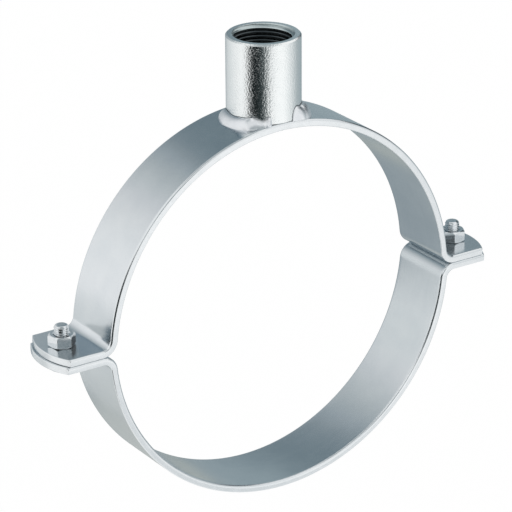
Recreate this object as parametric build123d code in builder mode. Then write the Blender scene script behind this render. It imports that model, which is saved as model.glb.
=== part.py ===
from build123d import *

import os
from math import cos, radians, sqrt, tan

# Two-part pipe bracket of flat steel strip, in millimetres.
# Each half is rolled to a ring and bent out into an ear at both ends. A bolt and a nut
# through each pair of ears draw the halves together, and a threaded socket is welded on
# the crown of the upper half, to hang the bracket from or to stand it on.
# Origin: the middle of the pipe space, on the plane where the ears meet.
# X runs along the ears, Y along the pipe and Z up to the socket.

# Flat strip
strip_width = 40.0
strip_thickness = 4.0
strip_edge_radius = 0.4

# Ring: both halves are rolled to one radius, and when the ears meet their centres lie
# past the split by the take-up, so that there is something left to clamp with
ring_inner_radius = 105.0
clamping_take_up = 3.0
ring_outer_radius = ring_inner_radius + strip_thickness
crown_height = ring_outer_radius - clamping_take_up

# Ears, measured outwards from the ring
bolt_setback = 17.5
ear_end_margin = 12.0
lower_ear_overhang = 1.3
ear_end_radius = 38.0
ear_bend_radius = 5.0
bolt_reach = ring_outer_radius + bolt_setback
ear_reach = bolt_reach + ear_end_margin

# Bolts and nuts, M8
bolt_diameter = 8.0
bolt_hole_clearance = 0.5
across_flats = 13.0
bolt_head_height = 5.3
nut_height = 6.5
thread_clearance = 0.05
thread_standing_out = 5.1
bolt_point_chamfer = 1.1
hexagon_face_share = 0.95
hexagon_chamfer_angle = 30.0
bolt_length = 2 * strip_thickness + nut_height + thread_standing_out
hexagon_corner_radius = across_flats / 2 / cos(radians(30))
hexagon_face_radius = across_flats / 2 * hexagon_face_share
hexagon_chamfer_width = hexagon_corner_radius - hexagon_face_radius
hexagon_chamfer_height = hexagon_chamfer_width * tan(radians(hexagon_chamfer_angle))

# Each hexagon's angle, from X to the nearest of its flats
left_head_angle = 12.0
left_nut_angle = 12.0
right_head_angle = 20.0
right_nut_angle = 36.0

# Socket, G1 parallel pipe thread bored at its crests
socket_outer_diameter = 40.0
socket_length = 44.0
thread_crest_diameter = 30.291
thread_root_diameter = 33.249
socket_rim_radius = 0.8
socket_radius = socket_outer_diameter / 2
thread_depth = (thread_root_diameter - thread_crest_diameter) / 2

# Weld beads, in the corner between the socket and the strip. Their angles run
# anticlockwise from X, seen from above.
left_weld_start_angle = 155.0
left_weld_end_angle = 236.0
left_weld_on_strip = 4.4
left_weld_on_socket = 5.0
right_weld_start_angle = 293.0
right_weld_end_angle = 385.0
right_weld_on_strip = 4.6
right_weld_on_socket = 6.8
weld_root_gap = 1.5
weld_root_radius = thread_crest_diameter / 2 + weld_root_gap
side_drop = ring_outer_radius - sqrt(ring_outer_radius**2 - socket_radius**2)
weld_centre_height = crown_height - side_drop

os.makedirs("parts", exist_ok=True)

# The lower half's plane is turned over, so the same profile serves both halves
upper_plane = Plane.XZ
lower_plane = Plane((0, 0, 0), x_dir=(1, 0, 0), z_dir=(0, 1, 0))

for band_name, band_plane, band_reach in (
    ("upper_band", upper_plane, ear_reach),
    ("lower_band", lower_plane, ear_reach + lower_ear_overhang),
):
    with BuildPart() as band:
        # Side view of the bent strip: a ring segment and two ears, with both faces of
        # each bend rounded about one centre
        with BuildSketch(band_plane) as profile:
            with Locations((0, -clamping_take_up)):
                Circle(ring_outer_radius)
                Circle(ring_inner_radius, mode=Mode.SUBTRACT)
            with Locations((0, ring_outer_radius / 2)):
                Rectangle(2 * ring_outer_radius, ring_outer_radius, mode=Mode.INTERSECT)
            ear_start = ring_inner_radius + strip_thickness / 2
            for side in (-1, 1):
                with Locations((side * (ear_start + band_reach) / 2, strip_thickness / 2)):
                    Rectangle(band_reach - ear_start, strip_thickness)
            inside_bend = profile.vertices().filter_by(
                lambda corner: abs(corner.X) < ring_outer_radius
                and abs(corner.Y - strip_thickness) < strip_thickness / 2
            )
            fillet(inside_bend, ear_bend_radius)
            outside_bend = profile.vertices().filter_by(
                lambda corner: abs(corner.X) < ring_outer_radius
                and abs(corner.Y) < strip_thickness / 2
            )
            fillet(outside_bend, ear_bend_radius + strip_thickness)
        extrude(amount=strip_width / 2, both=True)

        # Ear ends, curved when seen from above
        with BuildSketch(Plane.XY.offset(-ring_outer_radius)):
            end_centre = band_reach - ear_end_radius
            Rectangle(2 * end_centre, strip_width)
            with Locations((-end_centre, 0), (end_centre, 0)):
                Circle(ear_end_radius)
        extrude(amount=2 * ring_outer_radius, mode=Mode.INTERSECT)

        # Rolled edges of the strip
        side_faces = band.faces().filter_by(Plane.XZ)
        rolled_edges = side_faces.edges().filter_by(Axis.Z, reverse=True)
        fillet(rolled_edges, strip_edge_radius)

        with Locations((-bolt_reach, 0, 0), (bolt_reach, 0, 0)):
            Hole(bolt_diameter / 2 + bolt_hole_clearance)
    band.part.label = band_name
    export_step(band.part, f"parts/{band_name}.step")

with BuildPart() as socket:
    with BuildSketch(Plane.XY.offset(crown_height)):
        Circle(socket_radius)
        Circle(thread_crest_diameter / 2, mode=Mode.SUBTRACT)
    extrude(amount=socket_length)
    mouth_edges = socket.edges().filter_by(GeomType.CIRCLE).filter_by(
        lambda edge: edge.radius < thread_root_diameter / 2
    )
    chamfer(mouth_edges, thread_depth)
    rim_edge = socket.edges().filter_by(GeomType.CIRCLE).group_by(Axis.Z)[-1].sort_by(
        SortBy.RADIUS
    )[-1]
    fillet(rim_edge, socket_rim_radius)
socket.part.label = "socket"
export_step(socket.part, "parts/socket.step")

# A bead is an elliptic ring section about the socket, rounded at both ends and cut back
# to the socket and the strip
for weld_name, start_angle, end_angle, leg_on_strip, leg_on_socket in (
    (
        "weld_left",
        left_weld_start_angle,
        left_weld_end_angle,
        left_weld_on_strip,
        left_weld_on_socket,
    ),
    (
        "weld_right",
        right_weld_start_angle,
        right_weld_end_angle,
        right_weld_on_strip,
        right_weld_on_socket,
    ),
):
    with BuildPart() as weld:
        start_plane = Plane.XZ.rotated((0, 0, start_angle))
        with BuildSketch(start_plane):
            with Locations((socket_radius, weld_centre_height)):
                Ellipse(leg_on_strip, leg_on_socket)
        revolve(axis=Axis.Z, revolution_arc=end_angle - start_angle)
        for end_turn in (start_angle, end_angle):
            end_plane = Plane.XZ.rotated((0, 0, end_turn))
            end_centre = end_plane.from_local_coords((socket_radius, weld_centre_height, 0))
            with BuildSketch(end_plane):
                with Locations((socket_radius, weld_centre_height)):
                    Ellipse(leg_on_strip, leg_on_socket)
                with Locations((socket_radius - leg_on_strip, weld_centre_height)):
                    Rectangle(2 * leg_on_strip, 2 * leg_on_socket, mode=Mode.SUBTRACT)
            revolve(axis=Axis(end_centre, (0, 0, 1)))
        with BuildSketch(upper_plane):
            with Locations((0, -clamping_take_up)):
                Circle(ring_outer_radius)
        extrude(amount=strip_width, both=True, mode=Mode.SUBTRACT)
        with BuildSketch(Plane.XY.offset(crown_height)):
            Circle(socket_radius)
        extrude(amount=socket_length, mode=Mode.SUBTRACT)
        with BuildSketch():
            Rectangle(ring_outer_radius, strip_width - 2 * strip_edge_radius)
            Circle(weld_root_radius, mode=Mode.SUBTRACT)
        extrude(amount=crown_height + socket_length, mode=Mode.INTERSECT)
    weld.part.label = weld_name
    export_step(weld.part, f"parts/{weld_name}.step")

# Bolts point up from under the lower ears, and the nuts sit on the upper ears
for side_name, side, head_angle, nut_angle in (
    ("left", -1, left_head_angle, left_nut_angle),
    ("right", 1, right_head_angle, right_nut_angle),
):
    bolt_place = side * bolt_reach
    bolt_axis = Axis((bolt_place, 0, 0), (0, 0, 1))
    section_plane = Plane((bolt_place, 0, 0), x_dir=(1, 0, 0), z_dir=(0, -1, 0))

    with BuildPart() as bolt:
        head_seat = Plane((bolt_place, 0, -strip_thickness))
        with BuildSketch(head_seat):
            RegularPolygon(across_flats / 2, 6, major_radius=False, rotation=head_angle + 30)
        extrude(amount=-bolt_head_height)
        head_top = -strip_thickness
        head_bottom = head_top - bolt_head_height
        with BuildSketch(section_plane):
            with BuildLine():
                Polyline(
                    (0, head_top),
                    (hexagon_corner_radius, head_top),
                    (hexagon_corner_radius, head_bottom + hexagon_chamfer_height),
                    (hexagon_face_radius, head_bottom),
                    (0, head_bottom),
                    close=True,
                )
            make_face()
        revolve(axis=bolt_axis, mode=Mode.INTERSECT)
        with BuildSketch(head_seat):
            Circle(bolt_diameter / 2)
        extrude(amount=bolt_length)
        chamfer(bolt.faces().sort_by(Axis.Z)[-1].edges(), bolt_point_chamfer)
    bolt.part.label = f"bolt_{side_name}"
    export_step(bolt.part, f"parts/bolt_{side_name}.step")

    with BuildPart() as nut:
        nut_bottom = strip_thickness
        nut_top = nut_bottom + nut_height
        with BuildSketch(Plane((bolt_place, 0, nut_bottom))):
            RegularPolygon(across_flats / 2, 6, major_radius=False, rotation=nut_angle + 30)
        extrude(amount=nut_height)
        with BuildSketch(section_plane):
            with BuildLine():
                Polyline(
                    (0, nut_bottom),
                    (hexagon_face_radius, nut_bottom),
                    (hexagon_corner_radius, nut_bottom + hexagon_chamfer_height),
                    (hexagon_corner_radius, nut_top - hexagon_chamfer_height),
                    (hexagon_face_radius, nut_top),
                    (0, nut_top),
                    close=True,
                )
            make_face()
        revolve(axis=bolt_axis, mode=Mode.INTERSECT)
        with Locations((bolt_place, 0, nut_top)):
            Hole(bolt_diameter / 2 + thread_clearance)
    nut.part.label = f"nut_{side_name}"
    export_step(nut.part, f"parts/nut_{side_name}.step")
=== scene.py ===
from math import asin, atan2, cos, degrees, exp, hypot, pi, radians, sin, sqrt, tan

import bpy
from mathutils import Matrix, Vector


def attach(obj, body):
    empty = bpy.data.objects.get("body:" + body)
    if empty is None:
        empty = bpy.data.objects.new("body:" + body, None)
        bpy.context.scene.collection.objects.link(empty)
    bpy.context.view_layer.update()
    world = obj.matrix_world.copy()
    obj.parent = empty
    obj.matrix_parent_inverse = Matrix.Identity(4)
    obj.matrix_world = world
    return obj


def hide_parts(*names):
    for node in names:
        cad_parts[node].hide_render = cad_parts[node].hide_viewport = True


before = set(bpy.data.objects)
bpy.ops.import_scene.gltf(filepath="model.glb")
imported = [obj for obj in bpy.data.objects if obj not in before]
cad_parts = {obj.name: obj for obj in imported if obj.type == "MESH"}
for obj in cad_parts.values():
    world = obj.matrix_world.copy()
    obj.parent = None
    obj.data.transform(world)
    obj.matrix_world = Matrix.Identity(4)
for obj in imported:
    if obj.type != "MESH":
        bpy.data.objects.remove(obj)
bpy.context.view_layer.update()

mmInMetre = 1000
print("frame loaded")


def addObject(name, add, **values):
    # runs one of the add operators and names what it made
    bpy.ops.object.select_all(action="DESELECT")
    add(**values)
    bpy.context.object.name = name
    return bpy.context.object


# camera, at the photograph's angle, in degrees and metres; lens and sensor in millimetres
cameraSetup = {
    "azimuth": -33.425,
    "elevation": 22.767,
    "roll": -0.377,
    "distance": 1.590722,
    "target": (0.001434, 0.010505, 0.019864),
    "lens": 206.573,
    "sensor": 36,
    "clip": (0.05, 50),
}


def placeCamera():
    azimuth, elevation = radians(cameraSetup["azimuth"]), radians(cameraSetup["elevation"])
    back = Vector((sin(azimuth) * cos(elevation), -cos(azimuth) * cos(elevation), sin(elevation)))
    right = Vector((0, 0, 1)).cross(back).normalized()
    turned = Matrix((right, back.cross(right), back)).transposed()
    turned = turned @ Matrix.Rotation(radians(cameraSetup["roll"]), 3, "Z")
    camera = addObject("photoCamera", bpy.ops.object.camera_add)
    place = Vector(cameraSetup["target"]) + back * cameraSetup["distance"]
    camera.matrix_world = Matrix.Translation(place) @ turned.to_4x4()
    camera.data.sensor_width = cameraSetup["sensor"]
    camera.data.lens = cameraSetup["lens"]
    camera.data.clip_start, camera.data.clip_end = cameraSetup["clip"]
    bpy.context.scene.camera = camera


placeCamera()
bpy.context.scene.view_settings.view_transform = "Standard"
print("camera placed")


# material helpers
def colour(code):
    # sRGB hex to the linear colour that Blender's sockets take
    parts = [int(code[i : i + 2], 16) / 255 for i in (1, 3, 5)]
    return (*[p / 12.92 if p <= 0.04045 else ((p + 0.055) / 1.055) ** 2.4 for p in parts], 1)


def grey(level):
    return (level, level, level, 1)


def newTree(material):
    material.use_nodes = True
    material.node_tree.nodes.clear()
    return material.node_tree


def addNode(tree, kind, inputs=None, **settings):
    # a socket given as an input is linked, anything else is set
    node = tree.nodes.new(kind)
    for name, value in settings.items():
        setattr(node, name, value)
    for name, value in (inputs or {}).items():
        if isinstance(value, bpy.types.NodeSocket):
            tree.links.new(value, node.inputs[name])
        else:
            node.inputs[name].default_value = value
    return node


def setRamp(ramp, stops):
    # stops are (place, colour) from left to right
    elements = ramp.color_ramp.elements
    while len(elements) < len(stops):
        elements.new(1)
    for element, (place, value) in zip(elements, stops):
        element.position = place
        element.color = value


# studio: pale floor, white surround and the cards that the metal mirrors. Sizes are in
# metres, tones are linear greys and the surround is given as strengths.
studio = {
    "floorHeight": -0.40,
    "floorSize": 14.0,
    "floorTone": 0.36,
    "floorGlow": 0.71,
    "floorForLight": 0.9,
    "surroundForEye": 1.0,
    "surroundForFloor": 0.8,
    "surroundAfterThree": 0.12,
}

# A card's centre, width and height are in metres, and so is the soft margin in which it fades
# out at its sides and at its top and bottom. Its facing is the side that it looks to, seen
# from above, in degrees from X. Tones run from its left to its right as the bracket sees it,
# or along the slant given. A card with second tones is seen through them by what has met two
# mirrors, because each real one takes more light than the zinc here does.
cards = {
    "backCard": {
        "centre": (0.10, 0.30, 0.22), "size": (1.10, 0.94), "facing": -90,
        "soft": (0.10, 0.10), "slant": 33, "second": [(-0.40, "#e4e4e2"), (-0.33, "#a1b2bd")],
        "tones": [
            (-0.463, "#fafafb"), (-0.385, "#f5f6f7"), (-0.297, "#eaebec"), (-0.246, "#dadcdf"),
            (-0.20, "#cdd2d4"), (-0.14, "#b6bdc0"), (-0.095, "#a0abb2"), (-0.073, "#929da2"),
            (-0.052, "#84929a"), (-0.015, "#788890"),
        ],
    },
    "middleCard": {
        "centre": (-0.15, 0.287, 0.025), "size": (0.24, 0.21), "facing": -90,
        "soft": (0.08, 0.08), "slant": 0, "second": [(-0.1, "#5c7078"), (0.1, "#5c7078")],
        "tones": [(-0.1, "#e0e4e5"), (0.1, "#dfe3e4")],
    },
    "lowLeftCard": {
        "centre": (-0.31, 0.295, -0.22), "size": (0.42, 0.46), "facing": -90,
        "soft": (0.06, 0.08), "slant": 90,
        "tones": [(-0.10, "#cccfce"), (-0.03, "#d2d6d6"), (0.02, "#dcdfe0"), (0.12, "#e2e5e6")],
    },
    "lowCard": {
        "centre": (0.2675, 0.29, -0.21), "size": (0.845, 0.46), "facing": -90,
        "soft": (0.045, 0.10), "slant": 90,
        "tones": [
            (-0.10, "#c3c7c5"), (-0.055, "#bfc4c3"), (-0.025, "#98a3a9"), (0.08, "#98a3a9"),
        ],
    },
    "lowRightCard": {
        "centre": (0.21, 0.285, -0.155), "size": (0.17, 0.15), "facing": -90,
        "soft": (0.06, 0.06), "slant": 0,
        "tones": [(-0.05, "#acb3b1"), (0.05, "#acb3b1")],
    },
    "rightCard": {
        "centre": (0.4925, 0.28, 0.17), "size": (0.715, 0.64), "facing": -90,
        "soft": (0.10, 0.10), "slant": 0,
        "tones": [
            (-0.20, "#99a8ae"), (-0.155, "#88979e"), (-0.115, "#88979e"), (-0.07, "#9fadb2"),
            (0.2, "#a6b1b5"),
        ],
    },
    "sideCard": {
        "centre": (0.42, 0.08, -0.02), "size": (0.70, 0.70), "facing": 180,
        "soft": (0.10, 0.08), "slant": 0,
        "tones": [(-0.30, "#a4b1b6"), (-0.02, "#a6b1b6"), (0.14, "#b0b9bc"), (0.26, "#d4d9db")],
    },
    "cornerCard": {
        "centre": (0.355, -0.33, -0.05), "size": (0.34, 0.56), "facing": 145,
        "soft": (0.12, 0.14), "slant": 135,
        "tones": [(-0.14, "#ffffff"), (-0.05, "#f4f6f7"), (0.03, "#e8ebec"), (0.12, "#dde1e3")],
    },
    "upperSideCard": {
        "centre": (0.41, 0.06, 0.22), "size": (0.50, 0.24), "facing": 180,
        "soft": (0.08, 0.06), "slant": 0,
        "tones": [(-0.2, "#33424a"), (0.2, "#3a474e")],
    },
    "cameraSideCard": {
        "centre": (-0.34, -0.275, -0.09), "size": (0.58, 0.56), "facing": 39,
        "soft": (0.08, 0.10), "slant": 0,
        "tones": [(-0.22, "#5b6668"), (-0.13, "#40494b"), (-0.03, "#1c2223"), (0.2, "#1c2223")],
    },
    "upperFrontCard": {
        "centre": (-0.10, -0.45, 0.22), "size": (0.30, 0.36), "facing": 90,
        "soft": (0.07, 0.09), "slant": 0,
        "tones": [(-0.1, "#8b969b"), (0.1, "#7d898e")],
    },
    "frontReflector": {
        "centre": (0.15, -0.41, -0.16), "size": (0.43, 0.60), "facing": 113,
        "soft": (0.12, 0.12), "slant": 90, "strength": 1.08,
        "tones": [(-0.14, "#dadee0"), (-0.08, "#e2e5e7"), (-0.02, "#ffffff"), (0.2, "#ffffff")],
    },
    "overheadCard": {
        "centre": (-0.12, -0.18, 0.90), "size": (0.80, 0.80), "facing": -90, "tilt": -90,
        "soft": (0.16, 0.16), "slant": 0,
        "tones": [(-0.2, "#a6aeb1"), (0.2, "#a6aeb1")],
    },
}


def makeRamp(tree, along, tones):
    # the places of the tones are in metres from the card's centre
    first, last = tones[0][0], tones[-1][0]
    share = addNode(tree, "ShaderNodeMapRange", {
        "Value": along, "From Min": first, "From Max": last,
    })
    ramp = addNode(tree, "ShaderNodeValToRGB", {"Fac": share.outputs[0]})
    setRamp(ramp, [((t - first) / (last - first), colour(c)) for t, c in tones])
    return ramp.outputs[0]


def makeCard(name, card):
    board = addObject(name, bpy.ops.mesh.primitive_plane_add, size=1, location=card["centre"])
    board.rotation_euler = (
        pi / 2 + radians(card.get("tilt", 0)), 0, radians(card["facing"] + 90)
    )
    board.scale = (card["size"][0], card["size"][1], 1)
    paper = bpy.data.materials.new(name + "Paper")
    board.data.materials.append(paper)
    tree = newTree(paper)
    place = addNode(tree, "ShaderNodeTexCoord").outputs["Object"]
    metres = addNode(tree, "ShaderNodeMapping", {"Vector": place, "Scale": (*card["size"], 1)})
    turned = addNode(tree, "ShaderNodeMapping", {
        "Vector": metres.outputs[0], "Rotation": (0, 0, -radians(card["slant"])),
    })
    along = addNode(tree, "ShaderNodeSeparateXYZ", {0: turned.outputs[0]})
    tone = makeRamp(tree, along.outputs["X"], card["tones"])
    sides = addNode(tree, "ShaderNodeSeparateXYZ", {0: metres.outputs[0]})
    fades = []
    for axis, size, soft in zip("XY", card["size"], card["soft"]):
        away = addNode(tree, "ShaderNodeMath", {0: sides.outputs[axis]}, operation="ABSOLUTE")
        fades.append(addNode(tree, "ShaderNodeMapRange", {
            "Value": away.outputs[0], "From Min": size / 2, "From Max": size / 2 - soft,
        }, interpolation_type="SMOOTHSTEP").outputs[0])
    fade = addNode(tree, "ShaderNodeMath", {0: fades[0], 1: fades[1]}, operation="MULTIPLY")
    if "second" in card:
        # glossy depth is 1 for what has met one mirror and 2 for what has met two, and the
        # mix node's colours are its inputs 6 and 7
        deep = addNode(tree, "ShaderNodeMapRange", {
            "Value": addNode(tree, "ShaderNodeLightPath").outputs["Glossy Depth"],
            "From Min": 1, "From Max": 2,
        })
        tone = addNode(tree, "ShaderNodeMix", {
            "Factor": deep.outputs[0], 6: tone,
            7: makeRamp(tree, along.outputs["X"], card["second"]),
        }, data_type="RGBA", blend_type="MULTIPLY").outputs[2]
    light = addNode(tree, "ShaderNodeEmission", {
        "Color": tone, "Strength": card.get("strength", 1.0),
    })
    clear = addNode(tree, "ShaderNodeBsdfTransparent")
    both = addNode(tree, "ShaderNodeMixShader", {
        0: fade.outputs[0], 1: clear.outputs[0], 2: light.outputs[0],
    })
    addNode(tree, "ShaderNodeOutputMaterial", {"Surface": both.outputs[0]})
    # only what the metal mirrors sees the cards
    for ray in ("camera", "diffuse", "shadow", "transmission"):
        setattr(board, "visible_" + ray, False)


def eyeShare(tree):
    # 1 for camera, mirror and glass rays, so that they all see the plain white studio
    path = addNode(tree, "ShaderNodeLightPath")
    some = addNode(tree, "ShaderNodeMath", {
        0: path.outputs["Is Camera Ray"], 1: path.outputs["Is Glossy Ray"],
    }, operation="MAXIMUM")
    return addNode(tree, "ShaderNodeMath", {
        0: some.outputs[0], 1: path.outputs["Is Transmission Ray"],
    }, operation="MAXIMUM").outputs[0]


def makeFloor():
    floor = addObject(
        "studioFloor", bpy.ops.mesh.primitive_plane_add, size=studio["floorSize"],
        location=(0, 0, studio["floorHeight"]),
    )
    paint = bpy.data.materials.new("paleStudioFloor")
    floor.data.materials.append(paint)
    tree = newTree(paint)
    # seen, it glows to white and keeps a faint shadow; to the light it is plain pale paint
    shaded = addNode(tree, "ShaderNodeBsdfDiffuse", {"Color": grey(studio["floorTone"])})
    glow = addNode(tree, "ShaderNodeEmission", {
        "Color": grey(1), "Strength": studio["floorGlow"],
    })
    seen = addNode(tree, "ShaderNodeAddShader", {0: shaded.outputs[0], 1: glow.outputs[0]})
    plain = addNode(tree, "ShaderNodeBsdfDiffuse", {"Color": grey(studio["floorForLight"])})
    mix = addNode(tree, "ShaderNodeMixShader", {
        0: eyeShare(tree), 1: plain.outputs[0], 2: seen.outputs[0],
    })
    addNode(tree, "ShaderNodeOutputMaterial", {"Surface": mix.outputs[0]})


def makeSurround():
    world = bpy.data.worlds.new("whiteSurround")
    bpy.context.scene.world = world
    world.use_nodes = True
    tree = world.node_tree
    tree.nodes.clear()
    level = addNode(tree, "ShaderNodeMapRange", {
        "Value": eyeShare(tree),
        "To Min": studio["surroundForFloor"], "To Max": studio["surroundForEye"],
    })
    # from the third mirror on, the surround is dim
    deeper = addNode(tree, "ShaderNodeMapRange", {
        "Value": addNode(tree, "ShaderNodeLightPath").outputs["Glossy Depth"],
        "From Min": 2, "From Max": 3, "To Min": 1, "To Max": studio["surroundAfterThree"],
    })
    strength = addNode(tree, "ShaderNodeMath", {
        0: level.outputs[0], 1: deeper.outputs[0],
    }, operation="MULTIPLY")
    sky = addNode(tree, "ShaderNodeBackground", {
        "Color": grey(1), "Strength": strength.outputs[0],
    })
    addNode(tree, "ShaderNodeOutputWorld", {"Surface": sky.outputs[0]})


makeSurround()
makeFloor()
for cardName, cardValues in cards.items():
    makeCard(cardName, cardValues)
print("studio ready")


# materials: each noise's fineness, and the range that most of its values lie in
zincNoise = {
    "cloud": {"Detail": 4.0, "Roughness": 0.55},
    "streak": {"Detail": 5.0, "Roughness": 0.6},
    "grain": {"Detail": 3.0, "Roughness": 0.6},
    "range": (0.3, 0.7),
}


def zincMaterial(name, look):
    # a look has two tones, cloud and grain sizes and the grain's depth in millimetres, the
    # streaks' number for each metre of X, Y and Z, and the least and greatest roughness
    material = bpy.data.materials.new(name)
    tree = newTree(material)
    place = addNode(tree, "ShaderNodeTexCoord").outputs["Object"]
    low, high = zincNoise["range"]
    cloud = addNode(tree, "ShaderNodeTexNoise", {
        "Vector": place, "Scale": mmInMetre / look["cloudSize"], **zincNoise["cloud"],
    })
    tint = addNode(tree, "ShaderNodeValToRGB", {"Fac": cloud.outputs[0]})
    setRamp(tint, [(low, colour(look["tone"][0])), (high, colour(look["tone"][1]))])
    streakPlace = addNode(tree, "ShaderNodeMapping", {"Vector": place, "Scale": look["streaks"]})
    streak = addNode(tree, "ShaderNodeTexNoise", {
        "Vector": streakPlace.outputs[0], "Scale": 1.0, **zincNoise["streak"],
    })
    dull = addNode(tree, "ShaderNodeMapRange", {
        "Value": streak.outputs[0], "From Min": low, "From Max": high,
        "To Min": look["dull"][0], "To Max": look["dull"][1],
    })
    grain = addNode(tree, "ShaderNodeTexNoise", {
        "Vector": place, "Scale": mmInMetre / look["grainSize"], **zincNoise["grain"],
    })
    relief = addNode(tree, "ShaderNodeBump", {
        "Height": grain.outputs[0], "Strength": 1.0,
        "Distance": look["grainDepth"] / mmInMetre,
    })
    shader = addNode(tree, "ShaderNodeBsdfPrincipled", {
        "Base Color": tint.outputs[0], "Metallic": 1.0,
        "Roughness": dull.outputs[0], "Normal": relief.outputs[0],
    })
    addNode(tree, "ShaderNodeOutputMaterial", {"Surface": shader.outputs[0]})
    return material


looks = {
    # rolled strip under bright zinc: faint lines run along it and it mirrors softly
    "rolledZincStrip": {
        "tone": ("#dce1e4", "#e3e7e9"), "cloudSize": 14, "streaks": (20, 900, 20),
        "dull": (0.16, 0.24), "grainSize": 0.7, "grainDepth": 0.001,
    },
    # sheared edge: the zinc lies on torn metal, so it is a little duller and rougher
    "shearedZincEdge": {
        "tone": ("#e2e6e8", "#eaedef"), "cloudSize": 5, "streaks": (700, 60, 700),
        "dull": (0.20, 0.30), "grainSize": 0.6, "grainDepth": 0.003,
    },
    # turned steel under bright zinc: the fine pitting breaks up what it mirrors
    "turnedZincSocket": {
        "tone": ("#ecf0f0", "#f0f3f3"), "cloudSize": 6, "streaks": (60, 60, 2500),
        "dull": (0.05, 0.08), "grainSize": 1.0, "grainDepth": 0.21,
    },
    # chamfer at the socket's mouth: cut last, so a little duller than the turned face
    "cutZincMouth": {
        "tone": ("#bcc7c8", "#c4cfd0"), "cloudSize": 5, "streaks": (60, 60, 2000),
        "dull": (0.30, 0.38), "grainSize": 0.6, "grainDepth": 0.002,
    },
    # cut pipe thread: its dark grey tone is painted shade, standing in for the shade deep in the
    # bore
    "paintedShadeBore": {
        "tone": ("#4e5558", "#5a6164"), "cloudSize": 4, "streaks": (60, 60, 1500),
        "dull": (0.24, 0.36), "grainSize": 0.5, "grainDepth": 0.004,
    },
    # weld bead under zinc: smooth and slightly lumpy, as it froze
    "zincedWeldBead": {
        "tone": ("#e3e6ea", "#ebeef0"), "cloudSize": 5, "streaks": (300, 300, 300),
        "dull": (0.30, 0.40), "grainSize": 2.2, "grainDepth": 0.03,
    },
    # the seam along a bead's top, where it meets the socket: a dull dark line of painted shade in
    # the crease
    "paintedShadeSeam": {
        "tone": ("#666d70", "#868d90"), "cloudSize": 2, "streaks": (300, 300, 300),
        "dull": (0.4, 0.6), "grainSize": 0.4, "grainDepth": 0.01,
    },
    # cold-formed bolts and nuts under bright zinc
    "formedZincFastener": {
        "tone": ("#dee3e6", "#e8ebed"), "cloudSize": 4, "streaks": (500, 500, 500),
        "dull": (0.12, 0.2), "grainSize": 0.5, "grainDepth": 0.003,
    },
}
zinc = {name: zincMaterial(name, look) for name, look in looks.items()}
print("materials ready")


# modelling helpers; pieces are shaped in millimetres and finished in metres
gaps = {
    "merge": 0.0005,  # vertices this close become one
    "cut": 0.0001,  # vertices this close to a cutting plane lie on it
    "same": 0.001,  # places this close count as one
    "near": 0.01,  # the same with more room, where only one row of vertices can be meant
}


def choose(piece):
    if bpy.context.object and bpy.context.object.mode != "OBJECT":
        bpy.ops.object.mode_set(mode="OBJECT")
    bpy.ops.object.select_all(action="DESELECT")
    piece.select_set(True)
    bpy.context.view_layer.objects.active = piece


def edit(piece, kind="VERT"):
    choose(piece)
    bpy.ops.object.mode_set(mode="EDIT")
    bpy.ops.mesh.select_mode(type=kind)


def pick(piece, test, kind="VERT"):
    # selects the vertices, edges or faces that pass the test, and stays in edit mode
    edit(piece, kind)
    bpy.ops.mesh.select_all(action="DESELECT")
    bpy.ops.object.mode_set(mode="OBJECT")
    mesh = piece.data
    if kind == "VERT":
        for vertex in mesh.vertices:
            vertex.select = bool(test(vertex.co))
    elif kind == "EDGE":
        for edge in mesh.edges:
            edge.select = all(test(mesh.vertices[v].co) for v in edge.vertices)
    else:
        for face in mesh.polygons:
            face.select = bool(test(face))
    bpy.ops.object.mode_set(mode="EDIT")


def coatFaces(piece, slot, test):
    # gives the faces that pass the test the material in that slot
    pick(piece, test, "FACE")
    piece.active_material_index = slot
    bpy.ops.object.material_slot_assign()
    bpy.ops.object.mode_set(mode="OBJECT")


def tidyMesh(piece, gap=gaps["merge"]):
    edit(piece)
    bpy.ops.mesh.select_all(action="SELECT")
    bpy.ops.mesh.remove_doubles(threshold=gap)
    bpy.ops.mesh.normals_make_consistent(inside=False)
    bpy.ops.object.mode_set(mode="OBJECT")


def applyModifier(piece, kind, **values):
    choose(piece)
    modifier = piece.modifiers.new(kind.lower(), kind)
    for name, value in values.items():
        setattr(modifier, name, value)
    bpy.ops.object.modifier_apply(modifier=modifier.name)


def profileLine(name, points, closed=True):
    # a ring of vertices moved to the places (radius, height) of a profile
    piece = addObject(name, bpy.ops.mesh.primitive_circle_add, vertices=len(points), radius=1)
    for vertex, (reach, height) in zip(piece.data.vertices, points):
        vertex.co = (reach, 0, height)
    if not closed:
        # the edge from the last place back to the first goes
        last = len(points) - 1
        edit(piece, "EDGE")
        bpy.ops.mesh.select_all(action="DESELECT")
        bpy.ops.object.mode_set(mode="OBJECT")
        for edge in piece.data.edges:
            edge.select = set(edge.vertices) == {0, last}
        bpy.ops.object.mode_set(mode="EDIT")
        bpy.ops.mesh.delete(type="EDGE")
        bpy.ops.object.mode_set(mode="OBJECT")
    return piece


def turnProfile(piece, steps, angle=2 * pi, pitch=0.0):
    applyModifier(
        piece, "SCREW", axis="Z", angle=angle, steps=steps, render_steps=steps,
        screw_offset=pitch, iterations=1, use_merge_vertices=True, merge_threshold=gaps["merge"],
    )


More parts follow.
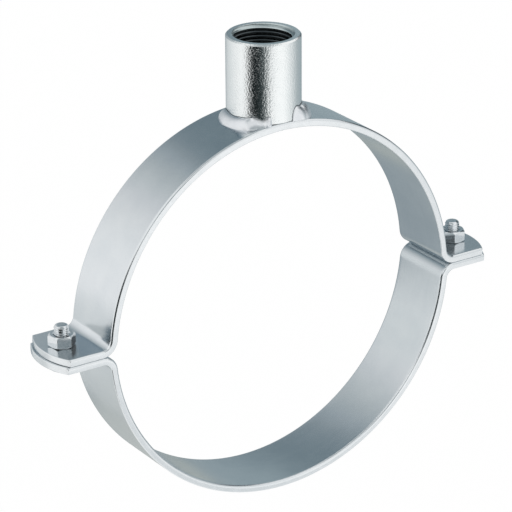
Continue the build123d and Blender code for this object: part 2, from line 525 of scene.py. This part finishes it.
def threadLine(name, thread, low, high):
    # The zigzag of a thread, from a turn and a half below low to past high. Rounding 0 is
    # sharp flanks and 1 a full wave, and flat is the share of the pitch that its crest and
    # its root each keep level.
    pitch, crest, root, flat = (thread[key] for key in ("pitch", "crest", "root", "flat"))
    turns = int((high - low) / pitch) + 3
    points = []
    for number in range(turns * thread["steps"] + 1):
        share = (number % thread["steps"]) / thread["steps"]
        flank = min(1, max(0, (abs(2 * share - 1) - flat) / (1 - 2 * flat)))
        wave = 0.5 + 0.5 * cos(2 * pi * share)
        depth = flank + (wave - flank) * thread["rounding"]
        height = low - 1.5 * pitch + number * pitch / thread["steps"]
        points.append((crest + (root - crest) * depth, height))
    return profileLine(name, points, closed=False)


def cutFlat(piece, height, keepBelow, fill=False):
    edit(piece)
    bpy.ops.mesh.select_all(action="SELECT")
    bpy.ops.mesh.bisect(
        plane_co=(0, 0, height), plane_no=(0, 0, 1), use_fill=fill,
        clear_outer=keepBelow, clear_inner=not keepBelow, threshold=gaps["cut"],
    )
    bpy.ops.object.mode_set(mode="OBJECT")


def reshape(piece, rule):
    # the rule takes a vertex's place and gives its new one
    for vertex in piece.data.vertices:
        vertex.co = rule(vertex.co.copy())


def atRadius(place, radius):
    # the place moved straight out from Z, or in, to that radius
    now = hypot(place.x, place.y)
    return Vector((place.x * radius / now, place.y * radius / now, place.z))


def combine(piece, other, how):
    # cuts the piece by the other one, which goes
    applyModifier(piece, "BOOLEAN", object=other, operation=how, solver="EXACT")
    bpy.data.objects.remove(other, do_unlink=True)


def joinPieces(piece, *others):
    choose(piece)
    for other in others:
        other.select_set(True)
    bpy.ops.object.join()


def coat(piece, *materials):
    piece.data.materials.clear()
    for material in materials:
        piece.data.materials.append(material)


def finishPiece(piece, body, nodes, smoothAngle, place=(0, 0, 0)):
    # brings the mesh to its place and to metres, and says what the piece stands for
    choose(piece)
    piece.location = place
    bpy.ops.object.transform_apply(location=True, rotation=True, scale=True)
    piece.scale = [1 / mmInMetre] * 3
    bpy.ops.object.transform_apply(location=True, rotation=True, scale=True)
    bpy.ops.object.shade_smooth_by_angle(angle=radians(smoothAngle))
    applyModifier(piece, "WEIGHTED_NORMAL", weight=100, keep_sharp=True)
    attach(piece, body)
    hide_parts(*nodes)
    print(piece.name, "made,", len(piece.data.polygons), "faces")


# The two bands: rolled strip, bent out to an ear at each end, with punched bolt holes.
# The rolled corners are outside on the upper band and inside on the lower one. An ear's
# length is laid in the steps given, and the rest of it in one more.
bandSize = {
    "width": 40.0,
    "thickness": 4.0,
    "ringRadius": 109.0,
    "takeUp": 3.0,
    "bendRadius": 5.0,
    "upperReach": 138.5,
    "lowerReach": 139.8,
    "earEndRadius": 38.0,
    "boltReach": 126.5,
    "holeRadius": 4.5,
    "rolledCorner": 1.3,
    "lowerRolledCorner": 1.7,
    "sharpCorner": 0.6,
    "shearedEnd": 0.45,
    "brokenEdge": 0.14,
    "brokenAngle": 62,
    "drillLength": 20,
    "earSteps": (4.6, 6.0, 6.0),
    "stepsAcross": 24,
    "stepsCorner": 6,
    "stepsRound": 84,
    "stepsBend": 14,
    "stepsEnd": 3,
    "stepsHole": 64,
    "mirrorGap": 0.002,
    "mergeGap": 0.001,
    "uprightBelow": 0.3,
    "sidewaysAbove": 0.9,
    "earEndFrom": 131,
    "smoothAngle": 40,
}


def makeBand(name, reach, rolledCorner, rolledOutside, flip):
    s = bandSize
    width, thick, ring = s["width"], s["thickness"], s["ringRadius"]
    crown = ring - s["takeUp"]
    bendHeight = thick + s["bendRadius"]
    centreAngle = asin((bendHeight + s["takeUp"]) / (ring + s["bendRadius"]))
    bendPlace = (ring + s["bendRadius"]) * cos(centreAngle)
    sweep = pi / 2 - centreAngle

    # cross-section at the crown, with its corners rounded
    band = addObject(
        name, bpy.ops.mesh.primitive_grid_add, x_subdivisions=s["stepsAcross"],
        y_subdivisions=1, size=1,
    )
    reshape(band, lambda p: Vector((0, p.x * width, crown - thick / 2 + p.y * thick)))
    for radius, top in ((rolledCorner, rolledOutside), (s["sharpCorner"], not rolledOutside)):
        corner = crown if top else crown - thick
        pick(band, lambda p: abs(abs(p.y) - width / 2) < gaps["near"]
             and abs(p.z - corner) < gaps["near"])
        bpy.ops.mesh.bevel(
            offset=radius, segments=s["stepsCorner"], affect="VERTICES", offset_type="OFFSET"
        )

    # half of the ring, the bend and the ear
    bpy.ops.mesh.select_all(action="SELECT")
    bpy.ops.mesh.spin(
        steps=s["stepsRound"], angle=sweep, center=(0, 0, -s["takeUp"]), axis=(0, -1, 0)
    )
    bpy.ops.mesh.spin(
        steps=s["stepsBend"], angle=sweep, center=(bendPlace, 0, bendHeight), axis=(0, 1, 0)
    )
    rounding, stepsEnd = s["shearedEnd"], s["stepsEnd"]
    across = [rounding * sin(pi * n / (2 * stepsEnd)) for n in range(stepsEnd + 1)]
    lengths = [*s["earSteps"], reach - bendPlace - sum(s["earSteps"]) - rounding]
    lengths += [across[n + 1] - across[n] for n in range(stepsEnd)]
    for length in lengths:
        bpy.ops.mesh.extrude_region_move(TRANSFORM_OT_translate={"value": (length, 0, 0)})
    bpy.ops.object.mode_set(mode="OBJECT")

    def earEnd(p):
        # the end is curved, and the shears leave its top and bottom edges rounded
        inset = reach - p.x
        if inset > rounding + gaps["near"]:
            return p
        drop = rounding - sqrt(max(0, rounding ** 2 - (rounding - inset) ** 2))
        reachHere = sqrt((s["earEndRadius"] - inset) ** 2 - p.y ** 2)
        return Vector((
            reach - s["earEndRadius"] + reachHere, p.y,
            thick / 2 + (p.z - thick / 2) * (1 - 2 * drop / thick),
        ))

    reshape(band, earEnd)

    # the other half of it, without a wall between the two
    pick(band, lambda face: abs(face.center.x) < gaps["same"], "FACE")
    bpy.ops.mesh.delete(type="ONLY_FACE")
    bpy.ops.object.mode_set(mode="OBJECT")
    applyModifier(
        band, "MIRROR", use_axis=(True, False, False), merge_threshold=s["mirrorGap"]
    )
    tidyMesh(band, s["mergeGap"])

    # bolt holes with their rims broken a little; the angle spares the ear's blunter corners
    for side in (-1, 1):
        drill = addObject(
            name + "Drill", bpy.ops.mesh.primitive_cylinder_add, vertices=s["stepsHole"],
            radius=s["holeRadius"], depth=s["drillLength"],
            location=(side * s["boltReach"], 0, thick / 2),
        )
        combine(band, drill, "DIFFERENCE")
    applyModifier(
        band, "BEVEL", width=s["brokenEdge"], segments=2, limit_method="ANGLE",
        angle_limit=radians(s["brokenAngle"]), use_clamp_overlap=False,
    )
    if flip:
        reshape(band, lambda p: Vector((p.x, p.y, -p.z)))
    tidyMesh(band, s["mergeGap"])

    def sheared(face):
        # upright faces along the strip's sides and around the ends of its ears
        if abs(face.normal.z) >= s["uprightBelow"]:
            return False
        return abs(face.normal.y) > s["sidewaysAbove"] or abs(face.center.x) > s["earEndFrom"]

    coat(band, zinc["rolledZincStrip"], zinc["shearedZincEdge"])
    coatFaces(band, 1, sheared)
    return band


# The welded socket: turned outside, pipe thread inside. The mouth's ring is the level part
# around it. The turned face is divided at a share of the height from each of its ends.
socketSize = {
    "outerRadius": 20.0,
    "foot": 106.0,
    "top": 150.0,
    "thread": {
        "pitch": 2.309, "crest": 15.1455, "root": 16.6245, "flat": 0.12, "rounding": 0.45,
        "steps": 10,
    },
    "mouthDepth": 2.7,
    "mouthSlope": 0.54,
    "mouthRing": 0.25,
    "rimChamfer": 0.9,
    "rimRounding": 0.06,
    "footBreak": 0.5,
    "footRounding": 0.15,
    "ringShare": 0.3,
    "steps": 96,
    "smoothAngle": 40,
}


def makeSocket():
    s = socketSize
    low, high, root = s["foot"], s["top"], s["thread"]["root"]
    liner = threadLine("socketThread", s["thread"], low, high)
    turnProfile(liner, s["steps"], pitch=s["thread"]["pitch"])
    tidyMesh(liner)
    cutFlat(liner, high, True)
    cutFlat(liner, low, False)

    def mouths(p):
        # both mouths are opened to the root of the thread by a steep cone
        cone = root - s["mouthSlope"] * min(high - p.z, p.z - low)
        return atRadius(p, max(hypot(p.x, p.y), cone))

    reshape(liner, mouths)

    # the outside, from the ring around the upper mouth down to the one around the lower
    outer, inner = s["outerRadius"], root + s["mouthRing"]
    rim, soft = s["rimChamfer"], s["rimRounding"]
    foot, footSoft = s["footBreak"], s["footRounding"]
    ring = s["ringShare"] * (high - low)
    shell = profileLine("socketShell", [
        (inner, high),
        (outer - rim - soft, high), (outer - rim + soft, high - soft),
        (outer - soft, high - rim + soft), (outer, high - rim - soft),
        (outer, high - ring), (outer, low + ring),
        (outer, low + foot), (outer - footSoft, low + footSoft), (outer - foot, low),
        (inner, low),
    ], closed=False)
    turnProfile(shell, s["steps"])
    tidyMesh(shell)

    # the two joined by a ring at each mouth
    joinPieces(liner, shell)
    for height in (high, low):
        pick(liner, lambda p: abs(p.z - height) < gaps["same"]
             and hypot(p.x, p.y) < inner + gaps["near"], "EDGE")
        bpy.ops.mesh.bridge_edge_loops()
        bpy.ops.object.mode_set(mode="OBJECT")
    liner.name = "threadedSocket"
    tidyMesh(liner)
    coat(liner, zinc["turnedZincSocket"], zinc["paintedShadeBore"], zinc["cutZincMouth"])
    # everything inside is coated as the mouth first, then all below the mouth as the bore, whose
    # dark tone is painted shade
    for slot, below in ((2, high), (1, high - s["mouthDepth"])):
        coatFaces(liner, slot, lambda face: face.center.z < below
                  and hypot(face.center.x, face.center.y) < root)
    return liner


# Bolts and nuts, M8. Turned is how a head or nut is set, in degrees from X to the middle of a
# flat. The nut's thread is a few shallow grooves, which leave the bolt's thread free.
fastenerSize = {
    "turned": {"leftBolt": 12, "leftNut": 12, "rightBolt": 20, "rightNut": 36},
    "acrossFlats": 13.0,
    "flatShare": 0.95,
    "chamferAngle": 30.0,
    "blankMargin": 1.0,
    "barMargin": 2.0,
    "edgeBreak": 0.14,
    "brokenAngle": 35,
    "stepsBlank": 96,
    "headTop": -4.0,
    "headBottom": -9.3,
    "shankInHead": 0.5,
    "tip": 15.6,
    "tipRadius": 2.1,
    "tipHeight": 1.7,
    "thread": {
        "pitch": 1.25, "crest": 4.0, "root": 3.46, "flat": 0.3, "rounding": 0.15, "steps": 10,
    },
    "stepsShank": 56,
    "boltSmoothAngle": 30,
    "nutBottom": 4.0,
    "nutTop": 10.5,
    "boreRadius": 4.06,
    "countersink": 4.62,
    "countersinkSlope": 0.8,
    "drillMargin": 1.0,
    "grooves": 4,
    "grooveFrom": 0.3,
    "grooveDepth": 0.3,
    "grooveLand": 0.1,
    "stepsDrill": 64,
    "nutSmoothAngle": 25,
}


def makeHexagon(name, low, high, angle, chamferTop, chamferBottom):
    # a six-sided bar cut by a turned blank, which leaves the curved chamfers
    s = fastenerSize
    corner = s["acrossFlats"] / 2 / cos(pi / 6)
    flat = s["acrossFlats"] / 2 * s["flatShare"]
    wide = corner + s["blankMargin"]
    drop = (wide - flat) * tan(radians(s["chamferAngle"]))
    points = [(0, low)]
    points += [(flat, low), (wide, low + drop)] if chamferBottom else [(wide, low)]
    points += [(wide, high - drop), (flat, high)] if chamferTop else [(wide, high)]
    points.append((0, high))
    blank = profileLine(name + "Blank", points)
    turnProfile(blank, s["stepsBlank"])
    tidyMesh(blank)
    hexagon = addObject(
        name, bpy.ops.mesh.primitive_cylinder_add, vertices=6, radius=corner,
        depth=high - low + 2 * s["barMargin"], location=(0, 0, (low + high) / 2),
        rotation=(0, 0, radians(angle)),
    )
    bpy.ops.object.transform_apply(location=True, rotation=True, scale=True)
    combine(hexagon, blank, "INTERSECT")
    tidyMesh(hexagon)
    applyModifier(
        hexagon, "BEVEL", width=s["edgeBreak"], segments=2, limit_method="ANGLE",
        angle_limit=radians(s["brokenAngle"]), use_clamp_overlap=False,
    )
    return hexagon


def makeBolt(name):
    s = fastenerSize
    shank = threadLine(name, s["thread"], s["headTop"], s["tip"])
    turnProfile(shank, s["stepsShank"], pitch=s["thread"]["pitch"])
    tidyMesh(shank)
    cutFlat(shank, s["tip"], True, fill=True)
    cutFlat(shank, s["headTop"] - s["shankInHead"], False, fill=True)

    def point(p):
        # the end is rounded over, down to a small flat
        now = hypot(p.x, p.y)
        rise = min(1, max(0, 1 - (s["tip"] - p.z) / s["tipHeight"]))
        dome = s["tipRadius"] + (s["thread"]["crest"] - s["tipRadius"]) * sqrt(1 - rise ** 2)
        return atRadius(p, min(now, dome)) if now > gaps["near"] else p

    reshape(shank, point)
    tidyMesh(shank)
    head = makeHexagon(
        name + "Head", s["headBottom"], s["headTop"], s["turned"][name],
        chamferTop=False, chamferBottom=True,
    )
    joinPieces(shank, head)
    coat(shank, zinc["formedZincFastener"])
    return shank


def makeNut(name):
    s = fastenerSize
    low, high, bore, step = s["nutBottom"], s["nutTop"], s["boreRadius"], s["thread"]["pitch"]
    nut = makeHexagon(name, low, high, s["turned"][name], chamferTop=True, chamferBottom=True)

    # the drill: a countersink at each end and the grooves between
    sink = (s["countersink"] - bore) * s["countersinkSlope"]
    over = s["drillMargin"]
    wide = s["countersink"] + over / s["countersinkSlope"]
    points = [(0, low - over), (wide, low - over), (bore, low + sink)]
    for turn in range(s["grooves"]):
        start = low + sink + s["grooveFrom"] + turn * step
        points += [
            (bore, start + s["grooveLand"]), (bore + s["grooveDepth"], start + step / 2),
            (bore, start + step - s["grooveLand"]),
        ]
    points += [(bore, high - sink), (wide, high + over), (0, high + over)]
    drill = profileLine(name + "Drill", points)
    turnProfile(drill, s["stepsDrill"])
    tidyMesh(drill)
    combine(nut, drill, "DIFFERENCE")
    tidyMesh(nut)
    coat(nut, zinc["formedZincFastener"])
    return nut


# Weld beads, laid along the corner between the socket and the strip. Angles run
# anticlockwise from X, in degrees, and legs are in millimetres. Start and end lengths are the
# degrees over which the bead grows and shrinks. Each wave is given by its share of the
# size, its pace and its start, the dip is where the bead is thinner, and the hollow is where
# its face sinks in, with 0 and 0 for none.
weldSize = {
    "leftWeld": {
        "node": "weld_left", "start": 143, "end": 249, "legStrip": 4.1, "legSocket": 4.8,
        "startLength": 15, "endLength": 4.5, "waves": ((0.04, 5.0, 0.4), (0.02, 13.0, 1.9)),
        "dip": {"at": 236, "before": 9, "after": 3.4, "depth": 0.3}, "hollow": (210, 246),
    },
    "rightWeld": {
        "node": "weld_right", "start": 284, "end": 398, "legStrip": 4.8, "legSocket": 6.9,
        "startLength": 11, "endLength": 14, "waves": ((0.05, 4.0, 0.3), (0.03, 9.0, 0.8)),
        "dip": {"at": 306, "before": 4, "after": 4, "depth": 0.08}, "hollow": (0, 0),
    },
}


# What both beads share. Places in the round section are (radius, height) from its corner,
# and the greater the power, the less the bead's face swells out.
beadShape = {
    "seam": ((-0.02, 1.07), (-0.4, 0.9)),
    "seamFrom": 1.01,
    "buried": ((-0.4, -0.4), (0.9, -0.4)),
    "seamLedge": 0.28,
    "stepsFace": 16,
    "stepsAlong": 110,
    "sideMargin": 0.1,
    "sideSoftness": 0.05,
    "leastRoom": 0.3,
    "leastSine": 0.2,
    "squeezePower": 4,
    "endPower": 2.2,
    "endLeast": 0.0009,
    "hollowIn": 16,
    "hollowOut": 4,
    "hollowPower": 2.0,
    "facePower": 1.25,
    "squeezedPower": 0.25,
    "smoothAngle": 60,
}


def makeWeld(name, weld):
    shape, dip = beadShape, weld["dip"]
    legStrip, legSocket, squeeze = weld["legStrip"], weld["legSocket"], shape["squeezePower"]
    radius = socketSize["outerRadius"]
    ring, takeUp = bandSize["ringRadius"], bandSize["takeUp"]
    front = bandSize["width"] / 2 - shape["sideMargin"]
    # a round section at first: the bead's face, the dull seam against the socket, and the
    # rest buried in the corner
    turns = [k * pi / (2 * shape["stepsFace"]) for k in range(shape["stepsFace"] + 1)]
    points = [(radius + cos(turn), sin(turn)) for turn in turns]
    points += [(radius + x, z) for x, z in shape["seam"] + shape["buried"]]
    bead = profileLine(name, points)
    span = radians(weld["end"] - weld["start"])
    turnProfile(bead, shape["stepsAlong"], angle=span)
    # both ends closed
    edit(bead)
    bpy.ops.mesh.select_all(action="DESELECT")
    bpy.ops.mesh.select_non_manifold()
    bpy.ops.mesh.edge_face_add()
    bpy.ops.object.mode_set(mode="OBJECT")
    coat(bead, zinc["zincedWeldBead"], zinc["paintedShadeSeam"])
    # the seam faces take the dark tone, painted shade along the crease against the socket
    coatFaces(bead, 1, lambda face: face.center.z > shape["seamFrom"])

    def lay(p):
        # sets the section's size and form by how far along the bead it is
        angle = atan2(p.y, p.x) % (2 * pi)
        if angle > pi + span / 2:  # it lies just before the bead's start
            angle -= 2 * pi
        turned = angle + radians(weld["start"])
        at = degrees(turned)
        size = 1 + sum(a * sin(f * angle + b) for a, f, b in weld["waves"])
        past = at - dip["at"]
        size *= 1 - dip["depth"] * exp(-(past / dip["after" if past > 0 else "before"]) ** 2)
        for inward, length in ((angle, "startLength"), (span - angle, "endLength")):
            short = max(0, 1 - inward / radians(weld[length]))
            size *= sqrt(max(shape["endLeast"], 1 - short ** shape["endPower"]))
        # where the socket comes near the strip's side, the bead has less room
        room = front / max(shape["leastSine"], abs(sin(turned))) - radius
        room = max(shape["leastRoom"], room)
        wide = (legStrip ** -squeeze + room ** -squeeze) ** (-1 / squeeze)
        first, last = weld["hollow"]
        hollow = min(
            1, max(0, at - first) / shape["hollowIn"], max(0, last - at) / shape["hollowOut"]
        )
        hollow = hollow ** 2 * (3 - 2 * hollow)
        power = shape["facePower"] - shape["squeezedPower"] * (1 - wide / legStrip)
        power += shape["hollowPower"] * hollow
        across, up = hypot(p.x, p.y) - radius, p.z
        if up >= 0 and across >= -gaps["same"]:
            across = wide * size * max(0, across) ** power + shape["seamLedge"] * size
            up = legSocket * size * up ** power
        else:
            across *= 1 if across < 0 else wide * size
            up *= legSocket * size if up > 0 else 1
        # it stands on the strip, which falls away to each side
        floor = -takeUp + sqrt(ring ** 2 - (radius * cos(turned)) ** 2)
        reach = radius + across
        x, y = reach * cos(turned), reach * sin(turned)
        slope = -takeUp + sqrt(ring ** 2 - x ** 2) - floor
        z = floor + up + slope * max(0, 1 - up / legSocket)
        side = front + shape["sideSoftness"]
        return Vector((x, min(side, max(-side, y)), z))

    reshape(bead, lay)
    tidyMesh(bead)
    return bead


upperBand = makeBand(
    "upperBand", bandSize["upperReach"], bandSize["rolledCorner"], rolledOutside=True, flip=False
)
finishPiece(
    upperBand, "upper_half", ["upper_band"], bandSize["smoothAngle"]
)
lowerBand = makeBand(
    "lowerBand", bandSize["lowerReach"], bandSize["lowerRolledCorner"], rolledOutside=False,
    flip=True,
)
finishPiece(
    lowerBand, "lower_half", ["lower_band"], bandSize["smoothAngle"]
)
finishPiece(
    makeSocket(), "upper_half", ["socket"], socketSize["smoothAngle"]
)
for weldName, weldValues in weldSize.items():
    bead = makeWeld(weldName, weldValues)
    finishPiece(
        bead, "upper_half", [weldValues["node"]], beadShape["smoothAngle"]
    )
for side, sign in (("left", -1), ("right", 1)):
    boltPlace = (sign * bandSize["boltReach"], 0, 0)
    finishPiece(
        makeBolt(side + "Bolt"), "lower_half", ["bolt_" + side],
        fastenerSize["boltSmoothAngle"], boltPlace,
    )
    finishPiece(
        makeNut(side + "Nut"), side + "_nut", ["nut_" + side],
        fastenerSize["nutSmoothAngle"], boltPlace,
    )
print("pieces made")
